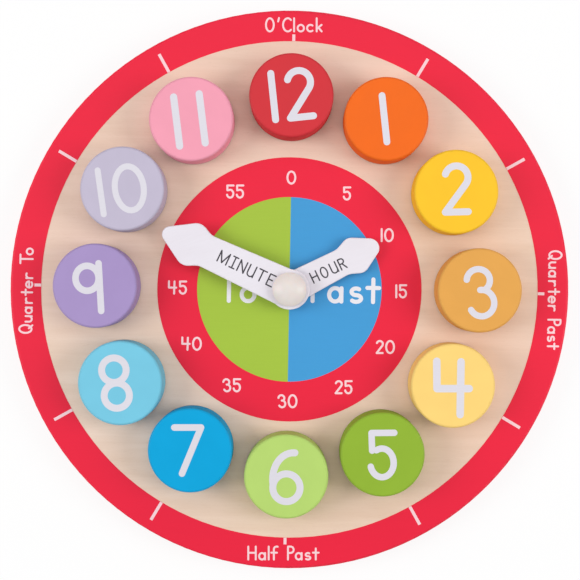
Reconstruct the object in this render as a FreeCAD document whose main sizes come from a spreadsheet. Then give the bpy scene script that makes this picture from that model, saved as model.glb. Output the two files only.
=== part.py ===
import FreeCAD, Part

import os

import Sketcher

# Wooden teaching clock, lying on its back: the dial faces +Z and twelve o'clock points along +Y.
# The origin is the centre of the back face. Millimetres and degrees.

doc = FreeCAD.newDocument("teaching_clock")
dims = doc.addObject("Spreadsheet::Sheet", "Dims")

# Driving sizes.
sizes = {
    # Dial, worked outwards and inwards from the ring of discs.
    "disc_diameter": 42.0,
    "disc_spacing": 7.5,
    "disc_count": 12,
    "outer_margin": 10.1,
    "rim_band": 15.8,
    "inner_margin": 7.2,
    "minute_band": 20.3,
    "board_thickness": 12.0,
    "board_round": 1.2,
    "print_thickness": 0.12,
    # The ring of pegs lies a little off the printed dial, and is turned a little against the clock.
    "ring_right": -0.8,
    "ring_up": 1.4,
    "ring_turn": 0.4,
    # Number discs and the pegs under them.
    "disc_thickness": 16.0,
    "disc_round": 1.1,
    "peg_diameter": 10.0,
    "peg_proud": 8.0,
    "peg_floor": 4.0,
    "peg_round": 1.0,
    "glue_gap": 0.05,
    "socket_gap": 1.5,
    "socket_air": 1.0,
    # Hands. Half widths are taken at the root, the waist and the head, and backs are measured from the tip.
    "hand_thickness": 3.0,
    "hand_round": 0.6,
    "hub_radius": 10.2,
    "tip_clearance": 1.3,
    "hour_step": 19.6,
    "minute_root_half": 9.7,
    "minute_waist_half": 8.3,
    "minute_waist_back": 23.4,
    "minute_waist_round": 8.0,
    "minute_head_half": 12.1,
    "minute_head_back": 15.9,
    "minute_head_round": 6.4,
    "minute_nose_round": 4.1,
    "minute_angle": 156.25,
    "hour_root_half": 8.0,
    "hour_waist_half": 7.0,
    "hour_waist_back": 20.1,
    "hour_waist_round": 8.0,
    "hour_head_half": 10.1,
    "hour_head_back": 12.7,
    "hour_head_round": 5.5,
    "hour_nose_round": 5.0,
    "hour_angle": 28.25,
    # Pivot screw and the fits on it.
    "screw_diameter": 5.0,
    "screw_chamfer": 0.5,
    "screw_inset": 0.4,
    "running_clearance": 0.08,
    "running_play": 0.1,
    "bore_clearance": 0.25,
    "washer_clearance": 0.15,
    "thread_gap": 0.03,
    "head_diameter": 9.5,
    "head_height": 2.4,
    "head_round": 0.6,
    "slot_width": 1.2,
    "slot_length": 5.2,
    "slot_depth": 1.3,
    # Washers between the moving faces.
    "dial_washer_diameter": 18.0,
    "dial_washer_thickness": 1.6,
    "hand_washer_diameter": 16.0,
    "hand_washer_thickness": 0.8,
    # Cup washer under the screw head, and the domed cap that snaps over its lip.
    "flange_thickness": 1.0,
    "flange_setback": 0.5,
    "head_gap": 0.9,
    "lip_wall": 1.2,
    "lip_height": 1.4,
    "cap_clearance": 0.15,
    "cap_wall": 1.5,
    "cap_skirt": 1.6,
    "cap_air": 0.9,
    # Nut and washer in the recess in the back.
    "back_washer_diameter": 11.0,
    "back_washer_thickness": 1.0,
    "nut_flats": 8.0,
    "nut_height": 5.0,
    "nut_collar_height": 1.2,
    "nut_collar_setback": 0.4,
    "nut_inset": 1.0,
    "recess_gap": 3.0,
}

# Sizes and heights that follow from the driving ones.
worked = {
    "disc_radius": "disc_diameter / 2",
    "disc_circle": "(disc_diameter + disc_spacing) / (2 * sin(180 / disc_count))",
    "minute_outer": "disc_circle - disc_radius - inner_margin",
    "half_outer": "minute_outer - minute_band",
    "rim_inner": "disc_circle + disc_radius + outer_margin",
    "board_radius": "rim_inner + rim_band",
    "paint_radius": "board_radius + print_thickness",
    "print_top": "board_thickness + print_thickness",
    "print_round": "board_round + print_thickness",
    "disc_top": "board_thickness + disc_thickness",
    "peg_radius": "peg_diameter / 2",
    "peg_hole_radius": "peg_radius + glue_gap",
    "peg_top": "board_thickness + peg_proud",
    "ring_offset": "sqrt(ring_right ^ 2 + ring_up ^ 2)",
    "socket_radius": "peg_radius + socket_gap",
    "socket_top": "peg_top + socket_air",
    "screw_radius": "screw_diameter / 2",
    "bore_radius": "screw_radius + bore_clearance",
    "washer_bore": "screw_radius + washer_clearance",
    "nut_bore": "screw_radius + thread_gap",
    "hand_bore": "screw_radius + running_clearance",
    "dial_washer_radius": "dial_washer_diameter / 2",
    "dial_washer_top": "print_top + dial_washer_thickness",
    "hour_bottom": "dial_washer_top + running_play",
    "hand_washer_radius": "hand_washer_diameter / 2",
    "hand_washer_bottom": "hour_bottom + hand_thickness + running_play",
    "hand_washer_top": "hand_washer_bottom + hand_washer_thickness",
    "minute_bottom": "hand_washer_top + running_play",
    "flange_bottom": "minute_bottom + hand_thickness + running_play",
    "flange_top": "flange_bottom + flange_thickness",
    "head_radius": "head_diameter / 2",
    "head_top": "flange_top + head_height",
    "slot_bottom": "head_top - slot_depth",
    "lip_inner": "head_radius + head_gap",
    "lip_outer": "lip_inner + lip_wall",
    "lip_top": "flange_top + lip_height",
    "cap_inner": "lip_outer + cap_clearance",
    "cap_outer": "cap_inner + cap_wall",
    "flange_radius": "cap_outer - flange_setback",
    "skirt_top": "flange_top + cap_skirt",
    "dome_inner": "head_top + cap_air",
    "dome_top": "dome_inner + cap_wall",
    "cap_height": "dome_top - flange_top",
    "hollow_height": "dome_inner - flange_top",
    "nut_top": "nut_inset + nut_height",
    "nut_collar_top": "nut_inset + nut_collar_height",
    "nut_hex_height": "nut_height - nut_collar_height",
    "nut_corner": "nut_flats / (2 * cos(30))",
    "nut_collar_radius": "nut_flats / 2 - nut_collar_setback",
    "back_washer_radius": "back_washer_diameter / 2",
    "recess_depth": "nut_top + back_washer_thickness",
    "recess_radius": "back_washer_radius + recess_gap",
    "minute_reach": "disc_circle - ring_offset - disc_radius - socket_gap - tip_clearance",
    "hour_reach": "minute_reach - hour_step",
}

# The balls that round off the cap, each through the top of its skirt and the top of its dome.
for ball, edge, top in (("outer_ball", "cap_outer", "dome_top"), ("inner_ball", "cap_inner", "dome_inner")):
    worked[f"{ball}_rise"] = f"{top} - skirt_top"
    worked[f"{ball}_radius"] = f"({edge} ^ 2 + {ball}_rise ^ 2) / (2 * {ball}_rise)"
    worked[f"{ball}_centre"] = f"{top} - {ball}_radius"

# Where a hand's two straight slopes would meet if its nose weren't round.
for hand in ("minute", "hour"):
    nose = f"{hand}_nose_round"
    head = f"{hand}_head_half"
    run = f"{hand}_nose_run"
    worked[f"{hand}_waist_at"] = f"{hand}_reach - {hand}_waist_back"
    worked[f"{hand}_head_at"] = f"{hand}_reach - {hand}_head_back"
    worked[run] = f"{hand}_head_back - {nose}"
    worked[f"{hand}_slope"] = f"atan({head} / {run}) - asin({nose} / sqrt({head} ^ 2 + {run} ^ 2))"
    worked[f"{hand}_point_at"] = f"{hand}_head_at + {head} / tan({hand}_slope)"

# How each loose disc has slipped on its peg: the share of the play in its socket, and which way from +X.
slips = {
    1: (0.7, 74),
    2: (0.3, 19),
    3: (0.65, -100),
    4: (0.45, -109),
    5: (0.15, -55),
    6: (0.8, 82),
    7: (0.55, 89),
    8: (0.7, -94),
    9: (0.45, -118),
    11: (0.75, -179),
    12: (0.6, -30),
}
central = (0, 0)

# Two places closer than this are the same place.
near = 0.001


def fill_sheet():
    rows = [(alias, str(number)) for alias, number in sizes.items()]
    rows += [(alias, "=" + formula) for alias, formula in worked.items()]
    for row, (alias, content) in enumerate(rows, start=1):
        dims.set(f"A{row}", alias)
        dims.set(f"B{row}", content)
        dims.setAlias(f"B{row}", alias)
    doc.recompute()


# Zero needs no cell of its own.
def size(alias):
    return 0.0 if alias == "0" else float(dims.get(alias))


def cell(alias):
    return "0" if alias == "0" else f"Dims.{alias}"


def new_body(label):
    body = doc.addObject("PartDesign::Body", label)
    body.Label = label
    return body


def origin_feature(body, role):
    return next(feature for feature in body.Origin.OriginFeatures if feature.Role == role)


def new_sketch(body, name, role):
    sketch = body.newObject("Sketcher::SketchObject", name)
    sketch.AttachmentSupport = [(origin_feature(body, role), "")]
    sketch.MapMode = "FlatFace"
    return sketch


# Ties one measure of a sketch to a cell of the sheet.
def tie(sketch, kind, where, alias, name):
    index = sketch.addConstraint(Sketcher.Constraint(kind, *where, size(alias)))
    sketch.renameConstraint(index, name)
    sketch.setExpression(f"Constraints.{name}", cell(alias))


# A closed ring of straight lines, each joined to the next.
def join_lines(sketch, places):
    for number, start in enumerate(places):
        sketch.addGeometry(Part.LineSegment(start, places[(number + 1) % len(places)]))
    for number in range(len(places)):
        following = (number + 1) % len(places)
        sketch.addConstraint(Sketcher.Constraint("Coincident", number, 2, following, 1))


# Ties the corner where a line starts to a pair of cells, across and up.
def tie_corner(sketch, number, across, up):
    tie(sketch, "DistanceX", (-1, 1, number, 1), across, f"across_{number}")
    tie(sketch, "DistanceY", (-1, 1, number, 1), up, f"up_{number}")


# A body turned about the upright axis from a half section with corners given as pairs of cells.
def turned(label, corners, angle=360):
    body = new_body(label)
    sketch = new_sketch(body, f"{label}_section", "XZ_Plane")
    join_lines(sketch, [FreeCAD.Vector(size(across), size(up), 0) for across, up in corners])
    for number, (across, up) in enumerate(corners):
        tie_corner(sketch, number, across, up)
    revolution = body.newObject("PartDesign::Revolution", f"{label}_turned")
    revolution.Profile = sketch
    revolution.ReferenceAxis = (sketch, ["V_Axis"])
    revolution.Angle = angle
    sketch.Visibility = False
    doc.recompute()
    return body


def ring_section(inner, outer, bottom, top):
    return [(inner, bottom), (outer, bottom), (outer, top), (inner, top)]


# Rounds or bevels the edges of the body's last feature that the test picks.
def ease_edges(body, kind, name, measure, alias, picks):
    base = body.Tip
    chosen = [f"Edge{n}" for n, edge in enumerate(base.Shape.Edges, start=1) if picks(edge)]
    if not chosen:
        raise ValueError(f"{name}: no edge found")
    feature = body.newObject(f"PartDesign::{kind}", name)
    feature.Base = (base, chosen)
    setattr(feature, measure, size(alias))
    feature.setExpression(measure, cell(alias))
    doc.recompute()


def round_edges(body, name, alias, picks):
    ease_edges(body, "Fillet", name, "Radius", alias, picks)


def bevel_edges(body, name, alias, picks):
    ease_edges(body, "Chamfer", name, "Size", alias, picks)


# Picks whole circular edges of one radius, at the listed heights.
def circles(radius, *heights):
    levels = [size(height) for height in heights]

    def picks(edge):
        curve = edge.Curve
        if not isinstance(curve, Part.Circle) or abs(curve.Radius - size(radius)) > near:
            return False
        return any(abs(curve.Center.z - level) < near for level in levels)

    return picks


# Cuts everything above a sketch's outline out of the body, and checks that something came away.
def cut_upwards(body, sketch, name):
    before = body.Shape.Volume
    cut = body.newObject("PartDesign::Pocket", name)
    cut.Profile = sketch
    cut.Type = "ThroughAll"
    cut.Reversed = True
    sketch.Visibility = False
    doc.recompute()
    if body.Shape.Volume > before - near:
        raise ValueError(f"{name} cut nothing")
    return cut


def add_pad(body, sketch, name, height):
    pad = body.newObject("PartDesign::Pad", name)
    pad.Profile = sketch
    pad.Length = size(height)
    pad.setExpression("Length", cell(height))
    sketch.Visibility = False
    doc.recompute()


# A level sketch at the height of a cell.
def raised_sketch(body, name, height):
    sketch = new_sketch(body, name, "XY_Plane")
    sketch.AttachmentOffset = FreeCAD.Placement(FreeCAD.Vector(0, 0, size(height)), FreeCAD.Rotation())
    sketch.setExpression("AttachmentOffset.Base.z", cell(height))
    return sketch


# A circle round the upright axis.
def draw_circle(sketch, radius):
    sketch.addGeometry(Part.Circle(FreeCAD.Vector(), FreeCAD.Vector(0, 0, 1), size(radius)))
    sketch.addConstraint(Sketcher.Constraint("Coincident", 0, 3, -1, 1))
    tie(sketch, "Radius", (0,), radius, "radius")


# A rectangle centred on the upright axis.
def draw_rectangle(sketch, across, along):
    x = size(across) / 2
    y = size(along) / 2
    join_lines(sketch, [FreeCAD.Vector(*place, 0) for place in ((-x, -y), (x, -y), (x, y), (-x, y))])
    for number in (0, 2):
        sketch.addConstraint(Sketcher.Constraint("Horizontal", number))
        sketch.addConstraint(Sketcher.Constraint("Vertical", number + 1))
    sketch.addConstraint(Sketcher.Constraint("Symmetric", 0, 1, 2, 1, -1, 1))
    tie(sketch, "DistanceX", (0, 1, 0, 2), across, "across")
    tie(sketch, "DistanceY", (1, 1, 1, 2), along, "along")


# Puts a body at its place on the ring of pegs. Place 12 is at the top and the numbers go round clockwise.
def seat_on_ring(body, number, slip):
    share, way = slip
    bearing = f"(360 * {number} / Dims.disc_count - Dims.ring_turn)"
    slipped = f"{share} * Dims.socket_gap"
    across = f"Dims.ring_right + Dims.disc_circle * sin({bearing}) + {slipped} * cos({way})"
    up = f"Dims.ring_up + Dims.disc_circle * cos({bearing}) + {slipped} * sin({way})"
    body.setExpression("Placement.Base.x", across)
    body.setExpression("Placement.Base.y", up)


def make_board():
    board = turned("clock_board", [
        ("bore_radius", "board_thickness"),
        ("board_radius", "board_thickness"),
        ("board_radius", "0"),
        ("recess_radius", "0"),
        ("recess_radius", "recess_depth"),
        ("bore_radius", "recess_depth"),
    ])
    round_edges(board, "board_rounding", "board_round", circles("board_radius", "0", "board_thickness"))
    sketch = raised_sketch(board, "peg_hole_outline", "peg_floor")
    middle = FreeCAD.Vector(size("ring_right"), size("ring_up"), size("peg_floor"))
    turn = FreeCAD.Rotation(FreeCAD.Vector(0, 0, 1), size("ring_turn"))
    sketch.AttachmentOffset = FreeCAD.Placement(middle, turn)
    sketch.setExpression("AttachmentOffset.Base.x", cell("ring_right"))
    sketch.setExpression("AttachmentOffset.Base.y", cell("ring_up"))
    sketch.setExpression("AttachmentOffset.Rotation.Angle", cell("ring_turn"))
    centre = FreeCAD.Vector(0, size("disc_circle"), 0)
    sketch.addGeometry(Part.Circle(centre, FreeCAD.Vector(0, 0, 1), size("peg_hole_radius")))
    sketch.addConstraint(Sketcher.Constraint("PointOnObject", 0, 3, -2))
    tie(sketch, "DistanceY", (-1, 1, 0, 3), "disc_circle", "ring")
    tie(sketch, "Radius", (0,), "peg_hole_radius", "hole")
    whole = board.Shape.Volume
    hole = cut_upwards(board, sketch, "peg_hole")
    one_hole = whole - board.Shape.Volume
    pattern = board.newObject("PartDesign::PolarPattern", "peg_holes")
    pattern.Originals = [hole]
    pattern.Axis = (sketch, ["N_Axis"])
    pattern.Angle = 360
    pattern.Occurrences = int(size("disc_count"))
    pattern.setExpression("Occurrences", cell("disc_count"))
    board.Tip = pattern
    doc.recompute()
    holes = (whole - board.Shape.Volume) / one_hole
    if abs(holes - size("disc_count")) > near:
        raise ValueError("the ring of peg holes is not whole")


def make_prints():
    rim = turned("outer_ring_print", [
        ("rim_inner", "board_thickness"),
        ("board_radius", "board_thickness"),
        ("board_radius", "board_round"),
        ("paint_radius", "board_round"),
        ("paint_radius", "print_top"),
        ("rim_inner", "print_top"),
    ])
    round_edges(rim, "rim_outer_rounding", "print_round", circles("paint_radius", "print_top"))
    round_edges(rim, "rim_inner_rounding", "board_round", circles("board_radius", "board_thickness"))
    turned("minute_ring_print", ring_section("half_outer", "minute_outer", "board_thickness", "print_top"))
    make_half_print("to_half_print", 90)
    make_half_print("past_half_print", -90)


# Half of the centre of the dial, with a half round notch for the pivot screw.
def make_half_print(label, start_angle):
    section = ring_section("bore_radius", "half_outer", "board_thickness", "print_top")
    half = turned(label, section, angle=180)
    half.Placement.Rotation = FreeCAD.Rotation(FreeCAD.Vector(0, 0, 1), start_angle)


def make_peg(number):
    peg = turned(f"peg_{number:02d}", ring_section("0", "peg_radius", "peg_floor", "peg_top"))
    round_edges(peg, f"peg_{number:02d}_rounding", "peg_round", circles("peg_radius", "peg_top"))
    seat_on_ring(peg, number, central)


def make_disc(number):
    label = f"number_disc_{number:02d}"
    disc = turned(label, [
        ("0", "socket_top"),
        ("socket_radius", "socket_top"),
        ("socket_radius", "board_thickness"),
        ("disc_radius", "board_thickness"),
        ("disc_radius", "disc_top"),
        ("0", "disc_top"),
    ])
    rims = circles("disc_radius", "board_thickness", "disc_top")
    round_edges(disc, f"{label}_rounding", "disc_round", rims)
    seat_on_ring(disc, number, slips.get(number, central))


# Half the sharp-cornered blade, from the root to the point, and the same again mirrored in the X axis.
def draw_blade(sketch, hand):
    upper = [("0", f"{hand}_root_half")]
    upper += [(f"{hand}_{corner}_at", f"{hand}_{corner}_half") for corner in ("waist", "head")]
    point = FreeCAD.Vector(size(f"{hand}_point_at"), 0, 0)
    above = [FreeCAD.Vector(size(across), size(up), 0) for across, up in upper]
    below = [FreeCAD.Vector(place.x, -place.y, 0) for place in reversed(above)]
    places = above + [point] + below
    join_lines(sketch, places)
    for number, (across, up) in enumerate(upper):
        mirrored = len(places) - 1 - number
        tie_corner(sketch, number, across, up)
        sketch.addConstraint(Sketcher.Constraint("Symmetric", number, 1, mirrored, 1, -1))
    tip = len(upper)
    sketch.addConstraint(Sketcher.Constraint("PointOnObject", tip, 1, -1))
    tie(sketch, "DistanceX", (-1, 1, tip, 1), f"{hand}_point_at", "point")


# Picks the upright edges at one distance along a hand.
def upright_at(distance):
    def picks(edge):
        box = edge.BoundBox
        return max(box.XLength, box.YLength) < near and abs(box.XMin - size(distance)) < near

    return picks


def lies_level(edge):
    return edge.BoundBox.ZLength < near


# A painted hand, drawn along +X from the pivot and then turned to its place on the dial.
def make_hand(hand):
    body = new_body(f"{hand}_hand")
    blade = new_sketch(body, f"{hand}_blade_outline", "XY_Plane")
    draw_blade(blade, hand)
    add_pad(body, blade, f"{hand}_blade", "hand_thickness")
    for corner, rounding in (("waist", "waist_round"), ("head", "head_round"), ("point", "nose_round")):
        name = f"{hand}_{corner}_rounding"
        round_edges(body, name, f"{hand}_{rounding}", upright_at(f"{hand}_{corner}_at"))
    hub = new_sketch(body, f"{hand}_hub_outline", "XY_Plane")
    draw_circle(hub, "hub_radius")
    add_pad(body, hub, f"{hand}_hub", "hand_thickness")
    round_edges(body, f"{hand}_edge_rounding", "hand_round", lies_level)
    bore = new_sketch(body, f"{hand}_bore_outline", "XY_Plane")
    draw_circle(bore, "hand_bore")
    cut_upwards(body, bore, f"{hand}_bore")
    turn = FreeCAD.Rotation(FreeCAD.Vector(0, 0, 1), size(f"{hand}_angle"))
    body.Placement = FreeCAD.Placement(FreeCAD.Vector(0, 0, size(f"{hand}_bottom")), turn)
    body.setExpression("Placement.Base.z", cell(f"{hand}_bottom"))
    body.setExpression("Placement.Rotation.Angle", cell(f"{hand}_angle"))


def make_washers():
    turned("dial_washer", ring_section("washer_bore", "dial_washer_radius", "print_top", "dial_washer_top"))
    flat = ring_section("washer_bore", "hand_washer_radius", "hand_washer_bottom", "hand_washer_top")
    turned("hand_washer", flat)
    turned("back_washer", ring_section("washer_bore", "back_washer_radius", "nut_top", "recess_depth"))


# Machine screw: round head with a cross slot, and a plain shank down into the back recess.
def make_screw():
    screw = turned("pivot_screw", [
        ("0", "screw_inset"),
        ("screw_radius", "screw_inset"),
        ("screw_radius", "flange_top"),
        ("head_radius", "flange_top"),
        ("head_radius", "head_top"),
        ("0", "head_top"),
    ])
    round_edges(screw, "head_rounding", "head_round", circles("head_radius", "head_top"))
    bevel_edges(screw, "shank_chamfer", "screw_chamfer", circles("screw_radius", "screw_inset"))
    slots = (("slot_x", "slot_length", "slot_width"), ("slot_y", "slot_width", "slot_length"))
    for name, across, along in slots:
        slot = raised_sketch(screw, f"{name}_outline", "slot_bottom")
        draw_rectangle(slot, across, along)
        cut_upwards(screw, slot, name)


def make_cap_seat():
    turned("cap_seat", [
        ("washer_bore", "flange_bottom"),
        ("flange_radius", "flange_bottom"),
        ("flange_radius", "flange_top"),
        ("lip_outer", "flange_top"),
        ("lip_outer", "lip_top"),
        ("lip_inner", "lip_top"),
        ("lip_inner", "flange_top"),
        ("washer_bore", "flange_top"),
    ])


# A primitive solid whose sizes follow cells of the sheet.
def primitive(kind, label, bottom, **measures):
    solid = doc.addObject(f"Part::{kind}", label)
    for measure, alias in measures.items():
        solid.setExpression(measure, cell(alias))
    solid.setExpression("Placement.Base.z", cell(bottom))
    return solid


def post(label, bottom, radius, height):
    return primitive("Cylinder", label, bottom, Radius=radius, Height=height)


def combined(kind, label, base, tool):
    result = doc.addObject(f"Part::{kind}", label)
    result.Base = base
    result.Tool = tool
    result.Label = label
    return result


# A round post with a domed top: what a cylinder and a larger ball have in common.
def domed_post(label, radius, height, ball):
    column = post(f"{label}_post", "flange_top", radius, height)
    dome = primitive("Sphere", f"{label}_ball", f"{ball}_centre", Radius=f"{ball}_radius")
    return combined("Common", f"{label}_solid", column, dome)


def make_cap():
    outside = domed_post("cap_outside", "cap_outer", "cap_height", "outer_ball")
    hollow = domed_post("cap_hollow", "cap_inner", "hollow_height", "inner_ball")
    return combined("Cut", "pivot_cap", outside, hollow)


# Lock nut: a hexagon with a round collar below it, and a plain bore.
def make_nut():
    flats = {"Circumradius": "nut_corner", "Height": "nut_hex_height"}
    hexagon = primitive("Prism", "nut_hexagon", "nut_collar_top", **flats)
    hexagon.Polygon = 6
    collar = post("nut_collar", "nut_inset", "nut_collar_radius", "nut_collar_height")
    outside = combined("Fuse", "nut_outside", hexagon, collar)
    bore = post("nut_thread", "nut_inset", "nut_bore", "nut_height")
    return combined("Cut", "lock_nut", outside, bore)


def check_and_export(pieces):
    doc.recompute()
    for feature in doc.Objects:
        if "Invalid" in feature.State or "Error" in feature.State:
            raise ValueError(f"{feature.Name} failed: {feature.State}")
    os.makedirs("parts", exist_ok=True)
    for piece in pieces:
        if piece.Shape.isNull() or not piece.Shape.isValid() or len(piece.Shape.Solids) != 1:
            raise ValueError(f"{piece.Label} is not one sound solid")
    for piece in pieces:
        piece.Shape.exportStep(f"parts/{piece.Label}.step")
        box = piece.Shape.BoundBox
        print(f"{piece.Label}: {piece.Shape.Volume:.1f} mm3, height {box.ZMin:.2f} to {box.ZMax:.2f}")


fill_sheet()
make_board()
make_prints()
for place in range(1, sizes["disc_count"] + 1):
    make_peg(place)
    make_disc(place)
make_hand("hour")
make_hand("minute")
make_washers()
make_screw()
make_cap_seat()
pivot_cap = make_cap()
lock_nut = make_nut()
bodies = [feature for feature in doc.Objects if feature.TypeId == "PartDesign::Body"]
check_and_export(bodies + [pivot_cap, lock_nut])
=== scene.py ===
import math

import bmesh
import bpy
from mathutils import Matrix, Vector
from mathutils.geometry import delaunay_2d_cdt


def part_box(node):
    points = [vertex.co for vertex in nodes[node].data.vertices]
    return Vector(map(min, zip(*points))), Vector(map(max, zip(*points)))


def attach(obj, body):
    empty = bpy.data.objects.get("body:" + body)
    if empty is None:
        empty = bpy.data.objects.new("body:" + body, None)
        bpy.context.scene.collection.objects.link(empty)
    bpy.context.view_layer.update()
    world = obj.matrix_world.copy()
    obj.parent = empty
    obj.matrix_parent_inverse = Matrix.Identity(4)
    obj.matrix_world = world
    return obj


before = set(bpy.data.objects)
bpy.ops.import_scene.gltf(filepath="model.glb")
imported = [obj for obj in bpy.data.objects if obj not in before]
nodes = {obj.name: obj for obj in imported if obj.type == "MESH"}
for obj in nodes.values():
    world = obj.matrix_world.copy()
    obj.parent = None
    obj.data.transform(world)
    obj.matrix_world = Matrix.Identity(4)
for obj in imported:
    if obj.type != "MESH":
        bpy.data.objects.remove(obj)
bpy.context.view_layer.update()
mm = 0.001
hours = range(1, 13)
print("frame loaded:", len(nodes), "pieces")


# material helpers

def paint(red, green, blue):
    # screen colour 0 to 255 as the linear colour that a shader wants
    channels = [c / 255 for c in (red, green, blue)]
    return tuple(c / 12.92 if c <= 0.04045 else ((c + 0.055) / 1.055) ** 2.4 for c in channels) + (1.0,)


def newMaterial(name):
    material = bpy.data.materials.new(name)
    material.use_nodes = True
    tree = material.node_tree
    return material, tree, tree.nodes["Principled BSDF"]


def addNode(tree, kind, inputs=None, **settings):
    node = tree.nodes.new("ShaderNode" + kind)
    for key, value in settings.items():
        setattr(node, key, value)
    for key, value in (inputs or {}).items():
        if isinstance(value, bpy.types.NodeSocket):
            tree.links.new(value, node.inputs[key])
        else:
            node.inputs[key].default_value = value
    return node


def placeOf(tree, origin=(0, 0, 0), turn=0.0, stretch=(1, 1, 1)):
    # object coordinates measured from a point, turned so that X is along the grain, then stretched
    coords = addNode(tree, "TexCoord").outputs["Object"]
    moved = addNode(tree, "VectorMath", {0: coords, 1: origin}, operation="SUBTRACT").outputs[0]
    turned = addNode(tree, "Mapping", {"Vector": moved, "Rotation": (0, 0, -turn)}).outputs[0]
    return addNode(tree, "Mapping", {"Vector": turned, "Scale": stretch}).outputs[0]


def noise(tree, place, scale=1.0, detail=2.0, rough=0.5, distort=0.0):
    inputs = {"Vector": place, "Scale": scale, "Detail": detail, "Roughness": rough, "Distortion": distort}
    return addNode(tree, "TexNoise", inputs).outputs["Fac"]


def span(tree, value, low, high, toLow=0.0, toHigh=1.0):
    inputs = {"Value": value, "From Min": low, "From Max": high, "To Min": toLow, "To Max": toHigh}
    return addNode(tree, "MapRange", inputs).outputs[0]


def spanNoise(tree, value, toLow, toHigh):
    # most of a noise texture's values lie between 0.3 and 0.7
    return span(tree, value, 0.3, 0.7, toLow, toHigh)


def blendColours(tree, factor, first, second):
    return addNode(tree, "Mix", {0: factor, 6: first, 7: second}, data_type="RGBA").outputs[2]


def combine(tree, kind, first, second):
    return addNode(tree, "Math", {0: first, 1: second}, operation=kind).outputs[0]


def roughOf(tree, first, second, limits):
    # two noises together, so most of their sum lies between 0.6 and 1.4
    return span(tree, combine(tree, "ADD", first, second), 0.6, 1.4, *limits)


def reachOf(tree, place):
    # how far a point is from the upright line through the place's origin, and how high it is
    parts = addNode(tree, "SeparateXYZ", {0: place}).outputs
    flat = addNode(tree, "CombineXYZ", {0: parts[0], 1: parts[1]}).outputs[0]
    return addNode(tree, "VectorMath", {0: flat}, operation="LENGTH").outputs["Value"], parts[2]


def bump(tree, height, relief, under=None):
    # relief is the strength of the bumps and their depth in millimetres
    strength, depth = relief
    inputs = {"Height": height, "Strength": strength, "Distance": depth * mm}
    if under is not None:
        inputs["Normal"] = under
    return addNode(tree, "Bump", inputs).outputs[0]


def finish(tree, shader, colour, rough, normal, **sockets):
    # nodes feed colour, roughness and normal; what is even all over goes on the shader's own socket
    for key, value in (("Base Color", colour), ("Roughness", rough), ("Normal", normal)):
        tree.links.new(value, shader.inputs[key])
    for key, value in sockets.items():
        shader.inputs[key.replace("_", " ")].default_value = value


def dress(name, material):
    for slot in nodes[name].material_slots:
        slot.material = material


# bare wood of the board: a pale beech face with soft level grain

boardLook = {
    "light": (243, 217, 198),
    "dark": (228, 198, 175),
    "fleck": (200, 160, 130),
    "tint": (238, 204, 188),
    "rimPaint": (235, 28, 58),
    "rimInner": 126.9,
    "bareFoot": 1.15,
    "rough": (0.45, 0.6),
    "specular": 0.3,
    # how finely each layer of the grain repeats in a metre, along the grain and across it
    "scales": {
        "broad": (7, 34, 34),
        "blush": (5, 11, 11),
        "figure": (14, 210, 210),
        "fibre": (70, 2100, 2100),
        "pores": (330, 2700, 2700),
    },
    # how far each layer moves the wood from light to dark, or to the tint or the fleck
    "tones": {"broad": (0.0, 0.6), "figure": (-0.08, 0.42), "fibre": (-0.05, 0.11)},
    "blush": 0.5,
    "specks": 0.16,
    "relief": {"fibre": (0.25, 0.05), "specks": (0.3, -0.04)},
}


def beechMaterial(name, look):
    material, tree, shader = newMaterial(name)
    places = {layer: placeOf(tree, stretch=scale) for layer, scale in look["scales"].items()}
    tones = look["tones"]
    broad = noise(tree, places["broad"], distort=0.6)
    figure = noise(tree, places["figure"], detail=4.0, rough=0.55, distort=0.8)
    fibre = noise(tree, places["fibre"], detail=3.0, rough=0.6)
    pores = noise(tree, places["pores"], detail=1.0, rough=0.4)
    tone = spanNoise(tree, broad, *tones["broad"])
    tone = combine(tree, "ADD", tone, spanNoise(tree, figure, *tones["figure"]))
    tone = combine(tree, "ADD", tone, span(tree, fibre, 0.25, 0.75, *tones["fibre"]))
    colour = blendColours(tree, tone, paint(*look["light"]), paint(*look["dark"]))
    blush = span(tree, noise(tree, places["blush"], detail=1.0), 0.4, 0.65, 0.0, look["blush"])
    colour = blendColours(tree, blush, colour, paint(*look["tint"]))
    specks = span(tree, pores, 0.66, 0.76, 0.0, look["specks"])
    colour = blendColours(tree, specks, colour, paint(*look["fleck"]))
    # the rim's paint goes into the wood under the printed ring, round the edge and down the side
    reach, level = reachOf(tree, placeOf(tree))
    underRim = combine(tree, "GREATER_THAN", reach, look["rimInner"] * mm)
    aboveFoot = combine(tree, "GREATER_THAN", level, look["bareFoot"] * mm)
    painted = combine(tree, "MULTIPLY", underRim, aboveFoot)
    colour = blendColours(tree, painted, colour, paint(*look["rimPaint"]))
    rough = span(tree, fibre, 0.2, 0.8, *look["rough"])
    relief = look["relief"]
    normal = bump(tree, fibre, relief["fibre"], bump(tree, specks, relief["specks"]))
    finish(tree, shader, colour, rough, normal, Specular_IOR_Level=look["specular"])
    return material


# printed areas of the dial: thin satin ink that lets a little of the wood's grain through

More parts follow.
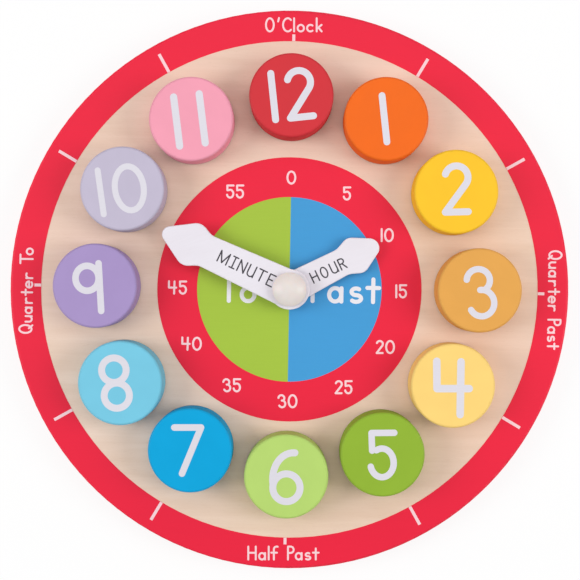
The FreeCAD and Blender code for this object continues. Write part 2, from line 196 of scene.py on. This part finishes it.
inks = {
    "outer_ring_print": {"ink": "outerRingInk", "colour": (235, 27, 60), "spread": 0.02},
    "minute_ring_print": {"ink": "minuteRingInk", "colour": (235, 27, 60), "spread": 0.02},
    "to_half_print": {"ink": "toHalfInk", "colour": (164, 194, 62), "spread": 0.03},
    "past_half_print": {"ink": "pastHalfInk", "colour": (64, 154, 213), "spread": 0.03},
}
inkFinish = {
    "rough": (0.4, 0.52),
    "specular": 0.28,
    "cloudScale": (9, 14, 14),
    "grainScale": (60, 1500, 1500),
    "dotScale": 2600.0,
    "grainRelief": (0.12, 0.03),
    "dotRelief": (0.06, 0.01),
}
letterInks = {
    "white": {"colour": (236, 234, 240), "spread": 0.02},
    "number": {"colour": (222, 219, 228), "spread": 0.02},
    "ring": {"colour": (249, 211, 217), "spread": 0.02},
    "dark": {"colour": (62, 58, 66), "spread": 0.05},
}


def inkMaterial(name, look):
    material, tree, shader = newMaterial(name)
    cloud = noise(tree, placeOf(tree, stretch=inkFinish["cloudScale"]))
    grain = noise(tree, placeOf(tree, stretch=inkFinish["grainScale"]), detail=3.0, rough=0.6)
    dots = noise(tree, placeOf(tree), inkFinish["dotScale"], detail=1.0)
    spread = look["spread"]
    value = spanNoise(tree, cloud, 1 - spread, 1 + spread)
    streaks = spanNoise(tree, grain, 1 - spread / 2, 1 + spread / 2)
    value = combine(tree, "MULTIPLY", value, streaks)
    shade = addNode(tree, "HueSaturation", {"Color": paint(*look["colour"]), "Value": value}).outputs[0]
    rough = roughOf(tree, grain, dots, inkFinish["rough"])
    normal = bump(tree, grain, inkFinish["grainRelief"], bump(tree, dots, inkFinish["dotRelief"]))
    finish(tree, shader, shade, rough, normal, Specular_IOR_Level=inkFinish["specular"])
    return material


# number discs: turned wood sprayed with satin paint, with painted shade on the rounded edge and the side,
# and a painted shadow at the foot

discColours = {
    1: ("orangePaint", (244, 108, 26)),
    2: ("yellowPaint", (253, 199, 44)),
    3: ("tanPaint", (230, 167, 82)),
    4: ("paleYellowPaint", (254, 215, 124)),
    5: ("leafGreenPaint", (146, 181, 54)),
    6: ("limePaint", (184, 216, 114)),
    7: ("bluePaint", (0, 165, 220)),
    8: ("skyPaint", (120, 201, 227)),
    9: ("violetPaint", (168, 147, 198)),
    10: ("lilacPaint", (195, 187, 208)),
    11: ("pinkPaint", (245, 161, 182)),
    12: ("redPaint", (211, 52, 60)),
}
discLook = {
    "grainTurn": 47,
    "spread": 0.02,
    "rough": (0.34, 0.48),
    "specular": 0.16,
    # painted shade on the rounded edge comes in between these distances from the side and from the top
    "edgeIn": (1.3, 0.4),
    "edgeDown": (1.5, 0.1),
    "edgeShadeDrop": 0.14,
    # the side begins between these distances from the top and gets painted shade, and a painted shadow
    # darkens its foot up to a height
    "wallDown": (1.4, 0.4),
    "wallShadeDrop": 0.1,
    "wallRough": 0.36,
    "footShadowHeight": 2.5,
    "footShadowDrop": 0.6,
    "mottleScale": (60, 90, 90),
    "grainScale": (90, 900, 900),
    "peelScale": 1400.0,
    "grainRelief": (0.16, 0.05),
    "peelRelief": (0.12, 0.02),
}


def paintMaterial(name, colour, disc, turn):
    material, tree, shader = newMaterial(name)
    look = discLook
    centre, radius, thickness = disc["centre"], disc["radius"], disc["thickness"]

    def belowTop(level, distances, toLow, toHigh):
        first, last = distances
        return span(tree, level, thickness - first * mm, thickness - last * mm, toLow, toHigh)

    place = placeOf(tree, centre, turn)
    reach, level = reachOf(tree, place)
    # painted shade: the rounded edge of the face is darkened
    first, last = look["edgeIn"]
    edge = span(tree, reach, radius - first * mm, radius - last * mm)
    edge = combine(tree, "MULTIPLY", edge, belowTop(level, look["edgeDown"], 0.0, 1.0))
    # the turned side is duller than the face, and painted shade makes it a little darker
    wall = belowTop(level, look["wallDown"], 1.0, 0.0)
    # painted shadow: the foot of the side is darkened, most at the very bottom
    foot = span(tree, level, 0.0, look["footShadowHeight"] * mm, look["footShadowDrop"], 0.0)
    mottle = noise(tree, placeOf(tree, centre, turn, look["mottleScale"]), detail=3.0)
    grain = noise(tree, placeOf(tree, centre, turn, look["grainScale"]), detail=3.0, rough=0.6, distort=0.5)
    peel = noise(tree, place, look["peelScale"], detail=1.0)
    value = spanNoise(tree, mottle, 1 - look["spread"], 1 + look["spread"])
    # the painted shade of the edge and side and the painted shadow at the foot are taken off the paint's
    # brightness
    value = combine(tree, "SUBTRACT", value, combine(tree, "MULTIPLY", edge, look["edgeShadeDrop"]))
    value = combine(tree, "SUBTRACT", value, foot)
    value = combine(tree, "SUBTRACT", value, combine(tree, "MULTIPLY", wall, look["wallShadeDrop"]))
    shade = addNode(tree, "HueSaturation", {"Color": paint(*colour), "Value": value}).outputs[0]
    rough = roughOf(tree, mottle, peel, look["rough"])
    rough = combine(tree, "ADD", rough, combine(tree, "MULTIPLY", wall, look["wallRough"]))
    normal = bump(tree, grain, look["grainRelief"], bump(tree, peel, look["peelRelief"]))
    finish(tree, shader, shade, rough, normal, Specular_IOR_Level=look["specular"])
    return material


# other finishes: painted hands, moulded plastic, steel and dowel wood

handLook = {
    "colour": (236, 232, 240),
    "under": (222, 214, 222),
    "grainTurn": 20,
    "rough": (0.36, 0.5),
    "specular": 0.35,
    "cloudScale": (30, 40, 40),
    "cloudTone": 0.35,
    "grainScale": (80, 1100, 1100),
    "grainTone": 0.12,
    "grainRelief": (0.12, 0.04),
    "peelScale": 1700.0,
    "peelRelief": (0.1, 0.02),
}
capLook = {"colour": (231, 222, 217), "deep": (226, 215, 208), "rough": (0.33, 0.41), "glow": 0.15}
nylonLook = {"colour": (232, 230, 222), "deep": (222, 219, 208), "rough": (0.39, 0.47), "glow": 0.1}
mouldedSkin = {"cloudScale": 120.0, "cloudTone": 0.5, "skinScale": 900.0, "skinRelief": (0.08, 0.02)}
steelLook = {
    "colour": (190, 190, 194),
    "dull": (168, 168, 172),
    "rough": (0.24, 0.4),
    "stainScale": 420.0,
    "stainTone": 0.5,
    "ringScale": 5200.0,
    "ringRelief": (0.15, 0.01),
}
dowelLook = {
    "light": (232, 206, 172),
    "dark": (196, 158, 118),
    "rough": (0.55, 0.72),
    "specular": 0.3,
    "figureScale": (420, 420, 18),
    "figureTone": 0.6,
    "fibreScale": (1800, 1800, 55),
    "fibreTone": 0.3,
    "fibreRelief": (0.3, 0.05),
}


def handMaterial(look):
    material, tree, shader = newMaterial("handPaint")
    turn = math.radians(look["grainTurn"])
    cloud = noise(tree, placeOf(tree, stretch=look["cloudScale"]))
    grain = noise(tree, placeOf(tree, turn=turn, stretch=look["grainScale"]), detail=3.0)
    peel = noise(tree, placeOf(tree), look["peelScale"], detail=1.0)
    tone = spanNoise(tree, cloud, 0.0, look["cloudTone"])
    tone = combine(tree, "ADD", tone, spanNoise(tree, grain, 0.0, look["grainTone"]))
    colour = blendColours(tree, tone, paint(*look["colour"]), paint(*look["under"]))
    rough = roughOf(tree, grain, peel, look["rough"])
    normal = bump(tree, grain, look["grainRelief"], bump(tree, peel, look["peelRelief"]))
    finish(tree, shader, colour, rough, normal, Specular_IOR_Level=look["specular"])
    return material


def plasticMaterial(name, look):
    material, tree, shader = newMaterial(name)
    cloud = noise(tree, placeOf(tree), mouldedSkin["cloudScale"])
    skin = noise(tree, placeOf(tree), mouldedSkin["skinScale"])
    depth = span(tree, cloud, 0.35, 0.65, 0.0, mouldedSkin["cloudTone"])
    tone = blendColours(tree, depth, paint(*look["colour"]), paint(*look["deep"]))
    rough = spanNoise(tree, skin, *look["rough"])
    normal = bump(tree, skin, mouldedSkin["skinRelief"])
    finish(tree, shader, tone, rough, normal, Subsurface_Weight=look["glow"], Subsurface_Scale=2 * mm)
    return material


def steelMaterial(look):
    material, tree, shader = newMaterial("brushedSteel")
    # fine rings round the screw's axis, as turning leaves them
    place = placeOf(tree)
    inputs = {"W": reachOf(tree, place)[0], "Scale": look["ringScale"], "Detail": 2.0}
    rings = addNode(tree, "TexNoise", inputs, noise_dimensions="1D").outputs["Fac"]
    stain = noise(tree, place, look["stainScale"], detail=3.0)
    depth = span(tree, stain, 0.4, 0.7, 0.0, look["stainTone"])
    tone = blendColours(tree, depth, paint(*look["colour"]), paint(*look["dull"]))
    rough = spanNoise(tree, rings, *look["rough"])
    finish(tree, shader, tone, rough, bump(tree, rings, look["ringRelief"]), Metallic=1.0)
    return material


def dowelMaterial(look):
    material, tree, shader = newMaterial("dowelWood")
    # pegs stand upright, so their fibres run along Z
    fibre = noise(tree, placeOf(tree, stretch=look["fibreScale"]), detail=3.0, rough=0.6)
    figure = noise(tree, placeOf(tree, stretch=look["figureScale"]), detail=3.0, distort=0.7)
    tone = spanNoise(tree, figure, 0.0, look["figureTone"])
    tone = combine(tree, "ADD", tone, spanNoise(tree, fibre, 0.0, look["fibreTone"]))
    colour = blendColours(tree, tone, paint(*look["light"]), paint(*look["dark"]))
    rough = spanNoise(tree, fibre, *look["rough"])
    normal = bump(tree, fibre, look["fibreRelief"])
    finish(tree, shader, colour, rough, normal, Specular_IOR_Level=look["specular"])
    return material


dress("clock_board", beechMaterial("beechFace", boardLook))
for name, look in inks.items():
    dress(name, inkMaterial(look["ink"], look))
print("board and printed areas coloured")

handPaint = handMaterial(handLook)
nylon = plasticMaterial("nylon", nylonLook)
capPlastic = plasticMaterial("creamPlastic", capLook)
steel = steelMaterial(steelLook)
dowelWood = dowelMaterial(dowelLook)
for name in ("hour_hand", "minute_hand"):
    dress(name, handPaint)
for name in ("dial_washer", "hand_washer", "cap_seat"):
    dress(name, nylon)
for name in ("back_washer", "pivot_screw", "lock_nut"):
    dress(name, steel)
dress("pivot_cap", capPlastic)
for hour in hours:
    dress(f"peg_{hour:02d}", dowelWood)
print("hands, pivot and pegs coloured")

discs = {}
for hour in hours:
    low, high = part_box(f"number_disc_{hour:02d}")
    discs[hour] = {
        "centre": ((low.x + high.x) / 2, (low.y + high.y) / 2, low.z),
        "radius": (high.x - low.x) / 2,
        "thickness": high.z - low.z,
        "top": high.z,
    }
    paintName, colour = discColours[hour]
    turn = math.radians(hour * discLook["grainTurn"])
    dress(f"number_disc_{hour:02d}", paintMaterial(paintName, colour, discs[hour], turn))
print("number discs painted")


# strokes of the clock's plain rounded lettering, in cap heights from the left end of the baseline

def line(*corners):
    return [tuple(corners[i:i + 2]) for i in range(0, len(corners), 2)]


def arc(x, y, wide, tall, start, stop):
    steps = max(6, round(abs(stop - start) / 9))  # one every 9 degrees
    turns = [math.radians(start + (stop - start) * i / steps) for i in range(steps + 1)]
    return [(x + wide * math.cos(t), y + tall * math.sin(t)) for t in turns]


def loop(x, y, wide, tall):
    # two open halves, because a stroke's outline can't close on itself
    return [arc(x, y, wide, tall, 85, 275), arc(x, y, wide, tall, -95, 95)]


glyphs = {
    "0": loop(0.325, 0.5, 0.325, 0.5),
    "1": [line(0, 0, 0, 1)],
    "2": [arc(0.262, 0.75, 0.25, 0.25, 162, -37) + [(0, 0)], line(0, 0, 0.5, 0)],
    "3": [arc(0.265, 0.76, 0.245, 0.24, 175, -60) + [(0.30, 0.558)],
          arc(0.325, 0.28, 0.265, 0.28, 92, -150)],
    "4": [line(0.005, 1.02, 0, 0.5), line(0, 0.5, 0.61, 0.49), line(0.465, 1, 0.43, 0)],
    "5": [line(0.03, 1, 0.547, 1), line(0.03, 1, 0.04, 0.6), arc(0.262, 0.32, 0.265, 0.325, 118, -165)],
    "6": [arc(0.43, 0.45, 0.43, 0.55, 85, 190)] + loop(0.28, 0.285, 0.28, 0.285),
    "7": [line(0, 1, 0.58, 1), line(0.58, 1, 0.167, 0)],
    "8": loop(0.245, 0.757, 0.243, 0.243) + loop(0.25, 0.25, 0.25, 0.25),
    "9": loop(0.243, 0.70, 0.243, 0.262) + [line(0.5, 1, 0.5, 0)],
    "'": [line(0, 0.76, 0.07, 1.02)],
    "O": loop(0.295, 0.5, 0.295, 0.5),
    "Q": loop(0.318, 0.5, 0.318, 0.5) + [line(0.38, 0.22, 0.62, -0.06)],
    "C": [arc(0.36, 0.5, 0.36, 0.5, 48, 312)],
    "H": [line(0, 0, 0, 1), line(0.58, 0, 0.58, 1), line(0, 0.52, 0.58, 0.52)],
    "P": [line(0, 0, 0, 1), line(0, 1, 0.2, 1), arc(0.2, 0.755, 0.24, 0.245, 90, -90),
          line(0.2, 0.51, 0, 0.51)],
    "T": [line(0, 1, 0.7, 1), line(0.35, 1, 0.35, 0)],
    "M": [line(0, 0, 0, 1), line(0, 1, 0.42, 0.03), line(0.42, 0.03, 0.83, 1), line(0.83, 1, 0.83, 0)],
    "I": [line(0, 1, 0.47, 1), line(0, 0, 0.47, 0), line(0.235, 0, 0.235, 1)],
    "N": [line(0, 0, 0, 1), line(0, 1, 0.6, 0), line(0.6, 0, 0.6, 1)],
    "U": [line(0, 1, 0, 0.3) + arc(0.28, 0.28, 0.28, 0.28, 180, 350), line(0.57, 1, 0.57, 0)],
    "E": [line(0, 0, 0, 1), line(0, 1, 0.52, 1), line(0, 0.52, 0.38, 0.52), line(0, 0, 0.52, 0)],
    "R": [line(0, 0, 0, 1), line(0, 1, 0.24, 1), arc(0.24, 0.76, 0.25, 0.24, 90, -90),
          line(0.24, 0.52, 0, 0.52), line(0.26, 0.5, 0.54, 0)],
    "a": loop(0.225, 0.25, 0.225, 0.25) + [line(0.46, 0.5, 0.46, 0)],
    "c": [arc(0.25, 0.25, 0.25, 0.25, 50, 310)],
    "e": [line(0.02, 0.26, 0.5, 0.26), arc(0.26, 0.25, 0.25, 0.25, 2, 315)],
    "f": [arc(0.42, 0.8, 0.22, 0.2, 70, 180) + [(0.2, 0)], line(0, 0.53, 0.44, 0.53)],
    "k": [line(0, 0, 0, 1), line(0.02, 0.2, 0.37, 0.5), line(0.13, 0.3, 0.38, 0)],
    "l": [line(0, 0, 0, 1)],
    "o": loop(0.24, 0.25, 0.24, 0.25),
    "r": [line(0, 0.5, 0, 0), arc(0.26, 0.24, 0.26, 0.26, 165, 62)],
    "s": [arc(0.21, 0.375, 0.17, 0.125, 50, 270), arc(0.21, 0.125, 0.19, 0.125, 90, -140)],
    "t": [line(0.22, 0.85, 0.22, 0), line(0, 0.53, 0.44, 0.53)],
    "u": [line(0, 0.5, 0, 0.22) + arc(0.22, 0.22, 0.22, 0.22, 180, 340), line(0.45, 0.5, 0.45, 0)],
}


def strokeOutline(points, radius):
    # a round-ended band of even width along an open line of points
    points = [Vector(p) for p in points]
    ways = [(b - a).normalized() for a, b in zip(points, points[1:])]
    sides = []
    for i in range(len(points)):
        way = (ways[max(0, i - 1)] + ways[min(i, len(ways) - 1)]).normalized()
        sides.append(Vector((-way.y, way.x)) * radius)
    right = [p - s for p, s in zip(points, sides)]
    left = [p + s for p, s in zip(points, sides)]

    def roundEnd(centre, heading):
        first = math.atan2(heading.y, heading.x) - math.pi / 2
        angles = [first + math.pi * i / 8 for i in range(1, 8)]
        return [centre + Vector((math.cos(a), math.sin(a))) * radius for a in angles]

    return right + roundEnd(points[-1], ways[-1]) + left[::-1] + roundEnd(points[0], -ways[0])


def wordOutlines(letters, starts, capHeight, stroke):
    outlines = []
    for letter, start in zip(letters.replace(" ", ""), starts):
        for points in glyphs[letter]:
            sized = [((x + start) * capHeight, y * capHeight) for x, y in points]
            outlines.append(strokeOutline(sized, stroke / 2))
    return outlines


def middle(outlines):
    xs = [p[0] for outline in outlines for p in outline]
    ys = [p[1] for outline in outlines for p in outline]
    return Vector(((min(xs) + max(xs)) / 2, (min(ys) + max(ys)) / 2))


def placed(outlines, centre, turn=0.0, about=None):
    # outlines in millimetres, turned about their own middle or a given point, then set down on centre
    about = middle(outlines) if about is None else Vector(about)
    c, s = math.cos(math.radians(turn)), math.sin(math.radians(turn))
    moved = []
    for outline in outlines:
        offsets = [Vector(p) - about for p in outline]
        moved.append([(centre[0] + c * d.x - s * d.y, centre[1] + s * d.x + c * d.y) for d in offsets])
    return moved


printDepth = {"proud": 0.05, "sunk": 0.02}


def printPiece(name, outlines, surface, body, material):
    # joins overlapping outlines into one thin closed layer of ink that lies on a surface
    verts = []
    faces = []
    for outline in outlines:
        faces.append(list(range(len(verts), len(verts) + len(outline))))
        verts += [Vector(p) for p in outline]
    points, _, triangles, _, _, sources = delaunay_2d_cdt(verts, [], faces, 0, 1e-5)
    kept = [t for t, source in zip(triangles, sources) if source]
    mesh = bpy.data.meshes.new(name)
    form = bmesh.new()
    top = surface + printDepth["proud"] * mm
    bottom = surface - printDepth["sunk"] * mm
    upper = {}
    lower = {}
    for index in sorted({i for t in kept for i in t}):
        upper[index] = form.verts.new((points[index].x * mm, points[index].y * mm, top))
        lower[index] = form.verts.new((points[index].x * mm, points[index].y * mm, bottom))
    sides = {(t[i], t[(i + 1) % 3]) for t in kept for i in range(3)}
    for t in kept:
        form.faces.new([upper[i] for i in t])
        form.faces.new([lower[i] for i in reversed(t)])
    for a, b in sides:
        if (b, a) not in sides:
            form.faces.new([upper[b], upper[a], lower[a], lower[b]])
    bmesh.ops.recalc_face_normals(form, faces=form.faces)
    form.to_mesh(mesh)
    form.free()
    mesh.materials.append(material)
    piece = bpy.data.objects.new(name, mesh)
    bpy.context.scene.collection.objects.link(piece)
    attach(piece, body)


whiteInk = inkMaterial("whiteInk", letterInks["white"])
numberInk = inkMaterial("numberInk", letterInks["number"])
ringInk = inkMaterial("ringInk", letterInks["ring"])
darkInk = inkMaterial("darkInk", letterInks["dark"])

# the big number on each disc: cap height, stroke, turn on the peg, and how far off centre it lies

discPrints = {
    1: {"height": 23.1, "stroke": 3.4, "turn": 7.0, "offset": (-1.0, 0.0)},
    2: {"height": 22.9, "stroke": 3.45, "turn": 2.5, "offset": (0.0, 1.4)},
    3: {"height": 23.5, "stroke": 3.15, "turn": 2.5, "offset": (0.3, -1.1)},
    4: {"height": 26.2, "stroke": 3.75, "turn": 2.0, "offset": (0.0, -1.0)},
    5: {"height": 21.9, "stroke": 3.2, "turn": 1.5, "offset": (0.0, -0.2)},
    6: {"height": 24.2, "stroke": 3.5, "turn": 2.0, "offset": (0.0, -0.3)},
    7: {"height": 22.9, "stroke": 3.25, "turn": 1.0, "offset": (-1.1, 0.0)},
    8: {"height": 25.1, "stroke": 3.45, "turn": 7.0, "offset": (-2.2, 0.0)},
    9: {"height": 23.7, "stroke": 3.3, "turn": 4.2, "offset": (-3.3, -1.1)},
    10: {"height": 22.0, "stroke": 3.05, "turn": 9.0, "offset": (0.0, -0.4)},
    11: {"height": 24.6, "stroke": 3.6, "turn": 8.0, "offset": (-0.8, -0.6)},
    12: {"height": 23.1, "stroke": 3.45, "turn": 7.0, "offset": (0.5, 0.2)},
}
secondStarts = {10: 0.328, 11: 0.52, 12: 0.32}  # where the second digit begins, in cap heights

for hour, look in discPrints.items():
    starts = (0, secondStarts.get(hour))
    outlines = wordOutlines(str(hour), starts, look["height"], look["stroke"])
    centre = discs[hour]["centre"]
    spot = [centre[i] / mm + look["offset"][i] for i in range(2)]
    outlines = placed(outlines, spot, look["turn"])
    name = f"number_print_{hour:02d}"
    printPiece(name, outlines, discs[hour]["top"], f"disc_{hour:02d}", numberInk)
print("disc numbers printed")

# numbers of the minutes, every five round the red ring

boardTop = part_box("minute_ring_print")[1].z
minutePrint = {"radius": 57.1, "height": 6.15, "stroke": 1.02, "turn": 1.0, "gap": 0.28}
digitWidths = {"0": 0.65, "1": 0.0, "2": 0.51, "3": 0.59, "4": 0.61, "5": 0.53}

outlines = []
for minute in range(0, 60, 5):
    letters = str(minute)
    starts = (0, digitWidths[letters[0]] + minutePrint["gap"])
    number = wordOutlines(letters, starts, minutePrint["height"], minutePrint["stroke"])
    angle = math.radians(minute * 6)
    spot = (minutePrint["radius"] * math.sin(angle), minutePrint["radius"] * math.cos(angle))
    outlines += placed(number, spot, minutePrint["turn"])
printPiece("minute_numbers", outlines, boardTop, "board", ringInk)

# words round the rim: middle of each word from the dial's centre, and the way it reads

rimWords = {
    "O'Clock": {"starts": (0, 0.92, 1.30, 2.14, 2.41, 3.13, 3.86),
                "height": 6.7, "centre": (-0.1, 135.1), "turn": 1},
    "Quarter Past": {"starts": (0, 0.91, 1.60, 2.43, 3.07, 3.67, 4.44, 5.56, 6.16, 6.89, 7.49),
                     "height": 6.3, "centre": (135.3, -3.1), "turn": -90},
    "Half Past": {"starts": (0, 0.84, 1.58, 1.78, 3.07, 3.67, 4.40, 5.0),
                  "height": 6.6, "centre": (-0.7, -134.6), "turn": 1},
    "Quarter To": {"starts": (0, 0.91, 1.60, 2.43, 3.07, 3.67, 4.44, 5.64, 6.36),
                   "height": 6.3, "centre": (-134.2, -3.0), "turn": 90},
}
rimStroke = 0.96

outlines = []
for letters, look in rimWords.items():
    word = wordOutlines(letters, look["starts"], look["height"], rimStroke)
    outlines += placed(word, look["centre"], look["turn"])
printPiece("rim_words", outlines, boardTop, "board", ringInk)

# ticks round the rim, from the ring's inner edge outwards

ticks = {"start": 126.75, "long": 10.5, "longWidth": 1.55, "short": 3.4, "shortWidth": 1.5}

outlines = []
for hour in hours:
    quarter = hour % 3 == 0
    length = ticks["short"] if quarter else ticks["long"]
    halfWidth = (ticks["shortWidth"] if quarter else ticks["longWidth"]) / 2
    first, last = ticks["start"], ticks["start"] + length
    corners = [(-halfWidth, first), (halfWidth, first), (halfWidth, last), (-halfWidth, last)]
    outlines += placed([corners], (0, 0), -30 * hour, about=(0, 0))
printPiece("rim_ticks", outlines, boardTop, "board", ringInk)

# the two words across the coloured halves

halfWords = {
    "To": {"starts": (0, 0.83), "height": 13.6, "start": (-35.6, -6.36)},
    "Past": {"starts": (0, 0.62, 1.42, 2.05), "height": 13.6, "start": (11.9, -5.75)},
}
halfStroke = 2.1

outlines = []
for letters, look in halfWords.items():
    word = wordOutlines(letters, look["starts"], look["height"], halfStroke)
    outlines += placed(word, look["start"], about=(0, 0))
printPiece("half_words", outlines, boardTop, "board", whiteInk)
print("dial printed")

# the word on each hand: along the hand from the hub, across it, and which way it reads

handWords = {
    "minute": {"letters": "MINUTE", "starts": (0, 1.15, 1.89, 2.80, 3.67, 4.70),
               "height": 5.8, "stroke": 0.68,
               "handAngle": 156.25, "along": 39.1, "across": 2.2, "turn": 179.1},
    "hour": {"letters": "HOUR", "starts": (0, 0.98, 1.99, 2.88),
             "height": 5.4, "stroke": 0.68,
             "handAngle": 28.25, "along": 12.6, "across": -2.9, "turn": -1.75},
}

for body, look in handWords.items():
    word = wordOutlines(look["letters"], look["starts"], look["height"], look["stroke"])
    lean = math.radians(look["handAngle"])
    start = (look["along"] * math.cos(lean) - look["across"] * math.sin(lean),
             look["along"] * math.sin(lean) + look["across"] * math.cos(lean))
    word = placed(word, start, look["handAngle"] + look["turn"], about=(0, 0))
    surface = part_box(f"{body}_hand")[1].z
    printPiece(f"{body}_word", word, surface, body, darkInk)
print("hand words printed")


# floor, lights and camera

stageLook = {
    "size": 6.0,
    "floorShade": (252, 252, 252),
    "floorBelow": 0.0002,
    "shadowShare": 0.15,
    "skyStrength": 0.46,
}
lamps = {
    "leftLamp": {"place": (-1.0, 0.0, 0.8), "size": 0.7, "power": 6.2},
    "rightLamp": {"place": (1.0, 0.0, 0.8), "size": 0.7, "power": 6.2},
    "topLamp": {"place": (0.0, 0.5, 1.25), "size": 1.0, "power": 2.3},
}


def seenOf(tree):
    # 1 where the camera sees it, also in a reflection or through a piece, and 0 where it only gives light
    rays = addNode(tree, "LightPath").outputs
    seen = combine(tree, "MAXIMUM", rays["Is Camera Ray"], rays["Is Glossy Ray"])
    return combine(tree, "MAXIMUM", seen, rays["Is Transmission Ray"])


def floorMaterial():
    material, tree, shader = newMaterial("whiteFloor")
    tree.nodes.remove(shader)
    matt = addNode(tree, "BsdfDiffuse", {"Color": paint(*stageLook["floorShade"])}).outputs[0]
    glow = addNode(tree, "Emission", {"Color": (1, 1, 1, 1), "Strength": 1.0}).outputs[0]
    share = combine(tree, "MULTIPLY", seenOf(tree), 1 - stageLook["shadowShare"])
    mixed = addNode(tree, "MixShader", {0: share, 1: matt, 2: glow}).outputs[0]
    tree.links.new(mixed, tree.nodes["Material Output"].inputs["Surface"])
    return material


def makeFloor():
    half = stageLook["size"] / 2
    level = -stageLook["floorBelow"]
    mesh = bpy.data.meshes.new("floor")
    corners = [(-half, -half, level), (half, -half, level), (half, half, level), (-half, half, level)]
    mesh.from_pydata(corners, [], [(0, 1, 2, 3)])
    mesh.materials.append(floorMaterial())
    floor = bpy.data.objects.new("floor", mesh)
    bpy.context.scene.collection.objects.link(floor)


def makeSky():
    world = bpy.data.worlds.new("softWhiteRoom")
    world.use_nodes = True
    tree = world.node_tree
    strength = span(tree, seenOf(tree), 0, 1, stageLook["skyStrength"], 1.0)
    sky = tree.nodes["Background"]
    sky.inputs["Color"].default_value = (1, 1, 1, 1)
    tree.links.new(strength, sky.inputs["Strength"])
    bpy.context.scene.world = world


def makeLamps():
    for name, look in lamps.items():
        lamp = bpy.data.lights.new(name, "AREA")
        lamp.shape = "DISK"
        lamp.size = look["size"]
        lamp.energy = look["power"]
        lampObject = bpy.data.objects.new(name, lamp)
        lampObject.location = look["place"]
        lampObject.rotation_euler = (-Vector(look["place"])).to_track_quat("-Z", "Y").to_euler()
        bpy.context.scene.collection.objects.link(lampObject)


photoCamera = {"place": (0.000306, -0.000306, 0.602), "roll": 1.0, "lens": 71.73}


def makeCamera():
    camera = bpy.data.cameras.new("photoCamera")
    camera.lens = photoCamera["lens"]
    camera.sensor_width = 36.0
    cameraObject = bpy.data.objects.new("photoCamera", camera)
    cameraObject.location = photoCamera["place"]
    cameraObject.rotation_euler = (0, 0, math.radians(photoCamera["roll"]))
    bpy.context.scene.collection.objects.link(cameraObject)
    bpy.context.scene.camera = cameraObject


makeFloor()
makeSky()
makeLamps()
makeCamera()
bpy.context.scene.view_settings.view_transform = "Standard"
print("floor, lamps and camera placed")
